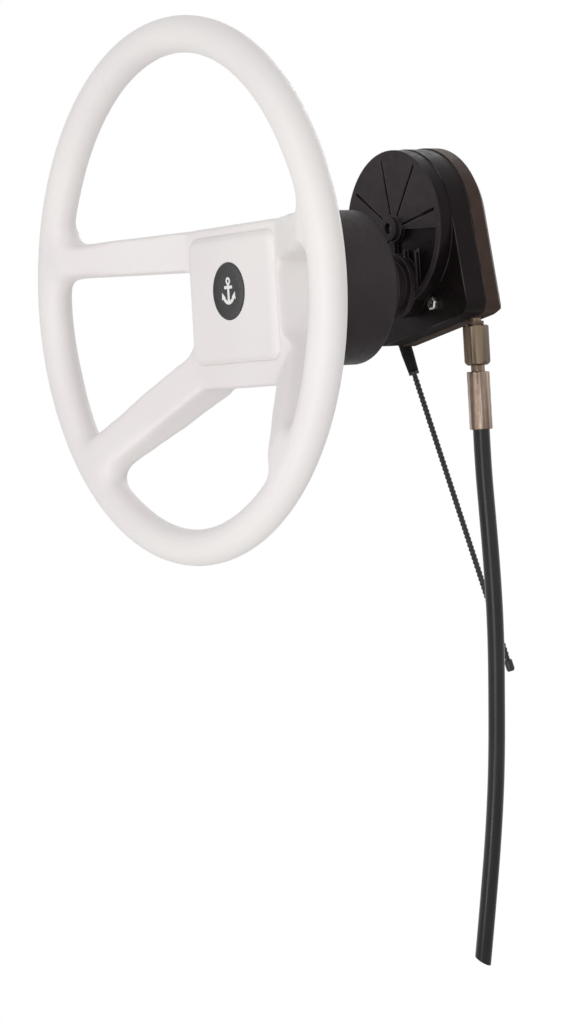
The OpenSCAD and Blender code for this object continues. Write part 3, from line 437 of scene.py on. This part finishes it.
    bearing = Look("bearing_plastic", (0.72, 0.70, 0.64), 0.45)
    bearing.two_tone(150, (0.68, 0.66, 0.60), (0.76, 0.74, 0.68))
    bearing.grain(1600, 0.10, 0.04)
    looks["bearing_plastic"] = bearing

    rubber = Look("seal_rubber", (0.016, 0.016, 0.017), 0.7, specular=0.3)
    rubber.two_tone(180, (0.012, 0.012, 0.013), (0.022, 0.022, 0.023))
    rubber.grain(1500, 0.2, 0.06)
    looks["seal_rubber"] = rubber

    cable = Look("cable_jacket", (0.010, 0.0097, 0.0101), 0.2, specular=0.3)
    cable.two_tone(45, (0.0085, 0.0082, 0.0086), (0.0125, 0.0121, 0.0127))
    cable.gloss(260, 0.20, 0.30, stretch=(1, 1, 0.15))
    cable.grain(900, 0.12, 0.06, stretch=(1, 1, 0.12))
    looks["cable_black"] = cable

    core = Look("wound_core_black", (0.014, 0.0135, 0.0135), 0.3, specular=0.4)
    core.patches(420, [(0.36, (0.006, 0.0057, 0.0057)), (0.66, (0.022, 0.0212, 0.0212))])
    core.gloss(600, 0.22, 0.38)
    core.grain(2200, 0.15, 0.04)
    looks["core_wound"] = core
    return looks


def dress(obj, look):
    obj.data.materials.clear()
    obj.data.materials.append(LOOKS[look].mat)


def add(obj, body, look, slot, *nodes):
    """A finished piece: its material, the CAD parts it takes the place of, which are hidden, and
    what it moves with.
    """
    dress(obj, look)
    if nodes:
        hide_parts(*nodes)
    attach(obj, body)


# The steering cable, which hangs from its ferrule to a bare cut end
CONDUIT_ROUTE = [
    (45, 64, -96.55), (45, 64, -112), (45.3, 64, -128), (46.2, 64, -146), (47.2, 64, -166),
    (48, 64, -186), (48.4, 64, -208), (48, 64, -230), (46.8, 64, -252), (45, 64, -275),
    (42.8, 64, -300), (39.8, 64, -325), (35.8, 64, -350), (31, 64, -375), (25.8, 64, -399),
    (20.4, 64, -423), (14.8, 64, -447),
]
CONDUIT_R = 5.5
CONDUIT_SIDES = 28
# The cut: how steep, to which side, and (radius, depth) over jacket, liner and core
CUT_SLANT = 0.47
CUT_SIDE = Vector((0.56, 0.83, 0))
CUT_FACE = [
    (5.5, -0.8), (5.5, -0.15), (5.35, 0.0), (4.3, 0.0),
    (4.1, -0.9), (2.4, -0.9), (2.1, -0.3), (0.1, -0.25),
]


def cut_end(end, ahead, across, out):
    rings = []
    for r, deep in CUT_FACE:
        ring = []
        for a in turns(CONDUIT_SIDES):
            side = r * (math.cos(a) * across + math.sin(a) * out)
            slant = CUT_SLANT * side.dot(CUT_SIDE)
            ring.append(end + side + (slant + deep) * ahead)
        rings.append(ring)
    return rings


def make_cable():
    line = spline(CONDUIT_ROUTE, 8)
    across = Vector((0, 1, 0))
    rings = []
    for i, p in enumerate(line):
        ahead = (line[min(i + 1, len(line) - 1)] - line[max(i - 1, 0)]).normalized()
        out = across.cross(ahead).normalized()
        rings.append([
            p + CONDUIT_R * (math.cos(a) * across + math.sin(a) * out)
            for a in turns(CONDUIT_SIDES)
        ])
    rings[-1:] = cut_end(line[-1], ahead, across, out)
    cable = stack("cable_jacket", rings)
    smooth_by_angle(cable, 40)
    add(cable, "helm", "cable_black", "cable_black", "cable_conduit")


# Fittings on the cable's line: coupling nut and crimp ferrule
INLET = (45, 64)


def upright(name, heights, radius, steps=120):
    """A skin round the inlet's line, from a radius that depends on height and angle."""
    rings = []
    for z in heights:
        ring = []
        for a in turns(steps):
            r = radius(z, a)
            ring.append((INLET[0] + r * math.cos(a), INLET[1] + r * math.sin(a), z))
        rings.append(ring)
    return stack(name, rings)


NUT_TOP, NUT_END = -29.05, -55.05
NUT_FLAT, NUT_CORNER, NUT_SOFT = 7.5, 8.5, 0.12
# The round shoulder at the lower end: height, radius at the end and what it gains
NUT_SHOULDER, NUT_SHOULDER_R, NUT_SHOULDER_GAIN = 4.6, 5.4, 3.4
# The bevel at the upper end: radius at the end and slope
NUT_BEVEL_R, NUT_BEVEL_SLOPE = 7.4, 1.5
# Rings above the lower end and below the upper one
NUT_SHOULDER_AT = [0, 0.05, 0.15, 0.3, 0.5, 0.75, 1.0, 1.4, 1.8, 2.3, 2.8, 3.4, 4.0, 4.6]
NUT_BEVEL_AT = [1.5, 1.2, 0.9, 0.6, 0.35, 0.15, 0]


def make_nut():
    def radius(z, a):
        flat = NUT_FLAT / math.cos(math.radians(math.degrees(a) % 60 - 30))
        corners = math.exp(-flat / NUT_SOFT) + math.exp(-NUT_CORNER / NUT_SOFT)
        side = -NUT_SOFT * math.log(corners)
        rise = min(1.0, (z - NUT_END) / NUT_SHOULDER)
        shoulder = NUT_SHOULDER_R + NUT_SHOULDER_GAIN * math.sqrt(1 - (1 - rise) ** 2)
        bevel = NUT_BEVEL_R + NUT_BEVEL_SLOPE * (NUT_TOP - z)
        return min(side, shoulder, bevel)

    heights = [NUT_END + d for d in NUT_SHOULDER_AT] + [NUT_TOP - d for d in NUT_BEVEL_AT]
    nut = upright("coupling_nut_turned", heights, radius)
    smooth_by_angle(nut, 24)
    add(nut, "helm", "nut_metal", SLOT_OF["coupling_nut"], "coupling_nut")


FERRULE_TOP, FERRULE_END = -59.05, -96.55
FERRULE_LENGTH = FERRULE_TOP - FERRULE_END
# The rounded lips: radius at the ends, what they gain, over which height and at which rings
LIP_R, LIP_GAIN, LIP_HEIGHT = 7.05, 0.45, 0.6
LIP_AT = [0, 0.1, 0.25, 0.45]
CRIMP_RINGS = 60


def make_ferrule():
    def radius(z, a):
        s = (z - FERRULE_END) / FERRULE_LENGTH
        lip = min(1.0, (z - FERRULE_END) / LIP_HEIGHT, (FERRULE_TOP - z) / LIP_HEIGHT)
        swage = max(0.0, math.sin(math.pi * s)) ** 0.35
        jaw = 0.10 * math.cos(8 * a) + 0.05 * math.cos(3 * a + 1.0)
        band = 0.10 * math.cos(2 * math.pi * 4 * s)
        pressed = swage * (0.10 + jaw * 0.7 + band * 0.5)
        return LIP_R + LIP_GAIN * math.sqrt(max(lip, 0.0)) - pressed

    start, run = FERRULE_END + LIP_HEIGHT, FERRULE_LENGTH - 2 * LIP_HEIGHT
    heights = [FERRULE_END + d for d in LIP_AT]
    heights += [start + run * k / CRIMP_RINGS for k in range(CRIMP_RINGS + 1)]
    heights += [FERRULE_TOP - d for d in reversed(LIP_AT)]
    ferrule = upright("ferrule_crimped", heights, radius)
    smooth_by_angle(ferrule, 35)
    add(ferrule, "helm", "alloy", SLOT_OF["crimp_ferrule"], "crimp_ferrule")


# Grease plug: its hexagon head with a turned face, and the shank behind it
PLUG_FLAT, PLUG_TURN = 4.0, 10.5
PLUG_SIDES = 96
PLUG_HEAD = 4.0
PLUG_SHANK_R = 2.45
# (inset, depth) from the middle of the face to the back of the head
PLUG_FACE = [
    (3.4, 0.28), (3.0, 0.14), (1.7, 0.0), (1.0, 0.05), (0.5, 0.25),
    (0.2, 0.6), (0.0, 1.1), (0.0, 3.5), (0.15, PLUG_HEAD),
]


def make_plug():
    low, high = (Vector(c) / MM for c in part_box("grease_plug"))
    cx, cz = (low.x + high.x) / 2, (low.z + high.z) / 2

    def hexagon(a):
        off = math.radians((math.degrees(a) - PLUG_TURN) % 60 - 30)
        return min(PLUG_FLAT / math.cos(off), 1.12 * PLUG_FLAT)

    def ring(radius, y):
        return [
            (cx + radius(a) * math.cos(a), y, cz + radius(a) * math.sin(a))
            for a in turns(PLUG_SIDES)
        ]

    rings = [ring(lambda a: hexagon(a) - inset, low.y + y) for inset, y in PLUG_FACE]
    rings += [ring(lambda a: PLUG_SHANK_R, y) for y in (low.y + PLUG_HEAD, high.y)]
    plug = stack("plug_head", rings)
    smooth_by_angle(plug, 30)
    add(plug, "helm", "steel", SLOT_OF["grease_plug"], "grease_plug")


# Wheel: the moulding, its pad and the emblem
VOXEL = 1.15
# All edges inside the rim are rounded a little: radii over which that fades, rounds and speed
HUB_FADE, HUB_ROUNDS, HUB_SPEED = (118, 142), 22, 0.5
# The corners between spokes and rim are filled: middles, distances over which that fades,
# radii over which the rim's outside is left out, rounds, and speeds outwards and inwards
RIM_JOINTS = [(-158, -130, 18), (158, -130, 18), (-120, -130, -105), (120, -130, -105)]
JOINT_FADE, OUTSIDE_FADE = (26, 62), (156, 165)
JOINT_ROUNDS, JOINT_FILL, JOINT_PULL = 1000, 0.9, 0.035


class Flow:
    """Moves the points of a fine mesh towards their neighbours, to round edges and fill corners."""

    ALONG = 0.4  # speed along the surface, which keeps the points even
    RENEW = 5  # rounds between two readings of the surface's direction

    def __init__(self, mesh):
        self.mesh = mesh
        self.at = np.empty(3 * len(mesh.vertices))
        mesh.vertices.foreach_get("co", self.at)
        self.at = self.at.reshape(-1, 3) / MM
        edges = np.empty(2 * len(mesh.edges), dtype=np.int64)
        mesh.edges.foreach_get("vertices", edges)
        self.edges = edges.reshape(-1, 2)
        faces = np.empty(4 * len(mesh.polygons), dtype=np.int64)
        mesh.polygons.foreach_get("vertices", faces)
        self.faces = faces.reshape(-1, 4)

    def patch(self, share):
        """The part of the mesh where share is above nothing."""
        keep = share > 0
        index = np.cumsum(keep) - 1
        edges = index[self.edges[keep[self.edges].all(axis=1)]]
        faces = index[self.faces[keep[self.faces].all(axis=1)]]
        return keep, edges, faces

    @staticmethod
    def outwards(at, faces):
        """The surface's direction at each point."""
        n = len(at)
        side = np.cross(at[faces[:, 2]] - at[faces[:, 0]], at[faces[:, 3]] - at[faces[:, 1]])
        out = np.zeros((n, 3))
        for c in range(3):
            for v in range(4):
                out[:, c] += np.bincount(faces[:, v], weights=side[:, c], minlength=n)
        return out / np.maximum(np.linalg.norm(out, axis=1, keepdims=True), 1e-9)

    def run(self, share, rounds, fill, pull):
        """fill is the speed outwards, in hollows, and pull the speed inwards, over edges."""
        keep, edges, faces = self.patch(share)
        at = self.at[keep]
        part = share[keep][:, None]
        n = len(at)
        both = np.concatenate([edges, edges[:, ::-1]])
        here, there = both[:, 0], both[:, 1]
        count = np.maximum(np.bincount(here, minlength=n), 1)[:, None]
        for k in range(rounds):
            if k % self.RENEW == 0:
                out = self.outwards(at, faces)
            sums = [np.bincount(here, weights=at[there, c], minlength=n) for c in range(3)]
            move = np.stack(sums, axis=1) / count - at
            rise = (move * out).sum(axis=1, keepdims=True)
            along = move - rise * out
            at = at + part * (np.where(rise > 0, fill, pull) * rise * out + self.ALONG * along)
        self.at[keep] = at

    def done(self):
        self.mesh.vertices.foreach_set("co", (self.at * MM).ravel())
        self.mesh.update()


def fade(distance, near, far):
    """1 up to near and 0 from far on."""
    return np.clip((far - distance) / (far - near), 0, 1)


def soften_wheel(mesh):
    flow = Flow(mesh)
    from_axis = np.hypot(flow.at[:, 0], flow.at[:, 2])
    flow.run(fade(from_axis, *HUB_FADE), HUB_ROUNDS, HUB_SPEED, HUB_SPEED)
    share = np.zeros(len(flow.at))
    for joint in RIM_JOINTS:
        distance = np.linalg.norm(flow.at - np.array(joint), axis=1)
        share = np.maximum(share, fade(distance, *JOINT_FADE))
    share = share * fade(from_axis, *OUTSIDE_FADE)
    flow.run(share, JOINT_ROUNDS, JOINT_FILL, JOINT_PULL)
    flow.done()


def make_wheel():
    wheel = put("wheel_moulding", frame["nodes"]["steering_wheel"].data.copy())
    shell = wheel.modifiers.new("shell", "REMESH")
    shell.mode = "VOXEL"
    shell.voxel_size = VOXEL * MM
    soften = wheel.modifiers.new("soften", "SMOOTH")
    soften.factor = 0.5
    soften.iterations = 6
    apply_modifiers(wheel)
    soften_wheel(wheel.data)
    shade(wheel.data)
    add(wheel, "wheel", "wheel_white", "wheel_white", "steering_wheel")


PAD_HALF, PAD_LOW, PAD_HIGH, PAD_CORNER = 48, -44, 34.5, 7
# (inset, y) from the back of the pad over its soft edge to the middle of its face
PAD_EDGE = [
    (-1.1, -88.0), (-1.1, -91.8), (-0.8, -92.15), (-0.4, -92.5), (0.1, -93.0), (0.7, -93.55),
    (1.4, -94.05), (2.3, -94.47), (3.4, -94.78), (5.0, -94.97), (7.5, -95.06), (12, -95.12),
    (26, -95.18),
]


def pad_ring(inset, y, steps=8):
    """Points round a rectangle with round corners, seen from the driver's seat."""
    ring = []
    r = max(PAD_CORNER - inset, 0.6)
    x, z0, z1 = PAD_HALF - inset - r, PAD_LOW + inset + r, PAD_HIGH - inset - r
    for cx, cz, start in ((x, z1, 0), (-x, z1, 90), (-x, z0, 180), (x, z0, 270)):
        for k in range(steps + 1):
            a = math.radians(start + 90 * k / steps)
            ring.append((cx + r * math.cos(a), y, cz + r * math.sin(a)))
    return ring


def make_pad():
    pad = stack("pad_moulding", [pad_ring(inset, y) for inset, y in PAD_EDGE])
    add(pad, "wheel", "wheel_white", "wheel_white", "hub_pad")


EMBLEM_PROFILE = [
    (0.01, -93.5), (18.1, -93.5), (18.3, -93.7), (18.3, -95.2), (18.2, -95.42), (17.9, -95.55),
    (17.4, -95.6), (16.9, -95.52), (16.6, -95.44), (10, -95.42), (0.01, -95.4),
]


def make_emblem():
    disc = lathe("emblem_face", EMBLEM_PROFILE, steps=72)
    add(disc, "wheel", "emblem_black", "emblem_black", "emblem_disc")


# The anchor's parts, each a little more or less proud of the disc so that no faces coincide
ANCHOR_Y = -95.38
EYE_Z, EYE_R, EYE_HOLE = 6.4, 2.5, 1.05
ANCHOR_SHANK = [(-1.1, -7.4), (1.1, -7.4), (1.1, 4.2), (-1.1, 4.2)]
ANCHOR_STOCK = [
    (-4.2, 1.5), (4.2, 1.5), (4.6, 1.9), (4.6, 3.0),
    (4.2, 3.4), (-4.2, 3.4), (-4.6, 3.0), (-4.6, 1.9),
]
ARMS_Z, ARMS_R, ARMS_INNER = -1.2, 7.2, 4.9
ANCHOR_FLUKE = [(7.4, -0.6), (3.7, -3.6), (7.8, -5.4)]


def make_anchor():
    """A plain anchor, as on any boat."""
    verts, faces = [], []

    def shape(outline, proud):
        base, n = len(verts), len(outline)
        for y in (ANCHOR_Y, ANCHOR_Y - proud):
            verts.extend((x, y, z) for x, z in outline)
        faces.append(tuple(range(base, base + n)))
        faces.append(tuple(range(base + n, base + 2 * n)))
        for k in range(n):
            m = (k + 1) % n
            faces.append((base + k, base + m, base + n + m, base + n + k))

    def arc(cz, r, a0, a1, steps):
        angles = [math.radians(a0 + (a1 - a0) * k / steps) for k in range(steps + 1)]
        return [(r * math.cos(a), cz + r * math.sin(a)) for a in angles]

    def band(cz, r0, r1, a0, a1, steps, proud):
        shape(arc(cz, r1, a0, a1, steps) + arc(cz, r0, a1, a0, steps), proud)

    band(EYE_Z, EYE_HOLE, EYE_R, 90, 270, 12, 0.22)
    band(EYE_Z, EYE_HOLE, EYE_R, -90, 90, 12, 0.22)
    shape(ANCHOR_SHANK, 0.26)
    shape(ANCHOR_STOCK, 0.24)
    band(ARMS_Z, ARMS_INNER, ARMS_R, 205, 335, 24, 0.23)
    for side in (-1, 1):
        shape([(side * x, z) for x, z in ANCHOR_FLUKE], 0.21)
    mark = solid("emblem_anchor", verts, faces, smooth=False)
    add(mark, "wheel", "mark_white", "wheel_white")


# Bezel: a turned shell with a rolled lip, as a closed (radius, y) outline
BEZEL_BASE_R, BEZEL_FRONT_R, BEZEL_WALL = 50, 34, 2.5
BEZEL_SKIRT, BEZEL_CURVE = 10, 40
BEZEL_LIP = [(48.6, 0.0), (49.4, -0.1), (49.85, -0.5), (50, -1.2), (50, -5)]
BEZEL_FRONT = [(33.9, -49.6), (33.3, -50.0), (32.2, -50.0), (31.6, -49.6)]
BEZEL_BACK = [(47.5, -5), (47.5, 0.0)]


def make_bezel():
    def side(inset, steps=24):
        r0, r1 = BEZEL_BASE_R - inset, BEZEL_FRONT_R - inset
        angles = [math.radians(90 * k / steps) for k in range(steps + 1)]
        return [
            (r1 + (r0 - r1) * math.cos(a), -BEZEL_SKIRT - BEZEL_CURVE * math.sin(a)) for a in angles
        ]

    outside, inside = side(0)[:-1], side(BEZEL_WALL)[::-1][1:]
    outline = BEZEL_LIP + outside + BEZEL_FRONT + inside + BEZEL_BACK
    bezel = lathe("bezel_shell", outline, steps=128, closed_loop=True)
    add(bezel, "helm", "bezel_black", "case_black", "bezel_cover")


# Spent end of the core: a wound rod that runs in and out of the case
TAIL_START = Vector((-30.437, 68.315, -57.989))
TAIL_DIR = Vector((0.153097, 0.205461, -0.966616)).normalized()
TAIL_LEN = 201.0
TAIL_R, RIDGE = 1.62, 0.48
WIND_PITCH, RINGS_PER_TURN, TAIL_SIDES = 3.0, 10, 14
PLAIN_END = 4


def make_tail():
    across = TAIL_DIR.cross(Vector((1, 0, 0))).normalized()
    out = TAIL_DIR.cross(across)
    count = int(TAIL_LEN / WIND_PITCH * RINGS_PER_TURN)
    rings = []
    for i in range(count + 1):
        s = TAIL_LEN * i / count
        ease = min(1.0, s / PLAIN_END, (TAIL_LEN - s) / PLAIN_END)
        ring = []
        for a in turns(TAIL_SIDES):
            ridge = 0.5 + 0.5 * math.cos(a - 2 * math.pi * s / WIND_PITCH)
            r = TAIL_R + RIDGE * ease * ridge
            ring.append(TAIL_START + s * TAIL_DIR + r * (math.cos(a) * across + math.sin(a) * out))
        rings.append(ring)
    tail = stack("wound_tail", rings)
    dress(tail, "core_wound")
    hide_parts("core_tail")
    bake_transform(tail)


# Everything that keeps its CAD shape takes the finish of its slot, apart from these
OWN_LOOK = {"drum_axle": "core_wound", "nipple_ring": "core_wound"}


def dress_nodes():
    for name, obj in frame["nodes"].items():
        dress(obj, OWN_LOOK.get(name, SLOT_OF[name]))
        smooth_by_angle(obj, 28)


# Studio: pale floor, white surround and soft lamps, in metres
WORLD_LEVEL = 0.58
FLOOR_DROP, FLOOR_REACH = 0.42, 1.6
LAMP_TARGET = (0, -0.02, -0.05)
# name, place, width and height, watts
LAMPS = [
    ("key", (0.3, -2.2, 1.2), (1.4, 1.4), 7),
    ("strip", (1.2, -1.54, -0.15), (0.9, 1.4), 10.5),
    ("low", (0.32, -0.74, -0.68), (0.25, 0.25), 0.9),
    ("side", (2.0, 0.5, 0.7), (0.7, 1.3), 3),
    ("back", (-0.8, 1.8, 0.9), (1.2, 1.2), 8),
]


def white_where_seen(tree, strength):
    """Strength 1 for what the camera, metal and glass see, and a plain level for the light."""
    nodes, links = tree.nodes, tree.links
    path = nodes.new("ShaderNodeLightPath")
    seen = path.outputs["Is Camera Ray"]
    for name in ("Is Glossy Ray", "Is Transmission Ray"):
        both = nodes.new("ShaderNodeMath")
        both.operation = "MAXIMUM"
        links.new(seen, both.inputs[0])
        links.new(path.outputs[name], both.inputs[1])
        seen = both.outputs["Value"]
    level = nodes.new("ShaderNodeMapRange")
    level.inputs["To Min"].default_value = strength
    level.inputs["To Max"].default_value = 1.0
    links.new(seen, level.inputs["Value"])
    return level.outputs["Result"]


def make_world():
    world = bpy.data.worlds.new("surround")
    scene.world = world
    world.use_nodes = True
    back = world.node_tree.nodes["Background"]
    back.inputs["Color"].default_value = (1, 1, 1, 1)
    level = white_where_seen(world.node_tree, WORLD_LEVEL)
    world.node_tree.links.new(level, back.inputs["Strength"])


def make_floor():
    z = cad_low[2] - FLOOR_DROP
    disc = [(FLOOR_REACH * math.cos(a), FLOOR_REACH * math.sin(a), z) for a in turns(128)]
    mesh = bpy.data.meshes.new("floor")
    mesh.from_pydata(disc, [], [tuple(range(len(disc)))])
    floor = put("floor", mesh)
    pale = Look("pale_floor", (0.86, 0.86, 0.85), 0.8, specular=0.1)
    pale.two_tone(3, (0.85, 0.85, 0.84), (0.88, 0.88, 0.87))
    floor.data.materials.append(pale.mat)


def make_lamps():
    for name, place, size, watts in LAMPS:
        data = bpy.data.lights.new(name, "AREA")
        data.shape = "RECTANGLE"
        data.size, data.size_y = size
        data.energy = watts
        lamp = put(name, data)
        lamp.location = place
        aim = Vector(LAMP_TARGET) - Vector(place)
        lamp.rotation_euler = aim.to_track_quat("-Z", "Y").to_euler()


make_camera()
LOOKS = make_looks()
make_cable()
make_nut()
make_ferrule()
make_plug()
make_wheel()
make_pad()
make_emblem()
make_anchor()
make_bezel()
make_tail()
dress_nodes()
scene.view_settings.view_transform = "Standard"
make_world()
make_floor()
make_lamps()
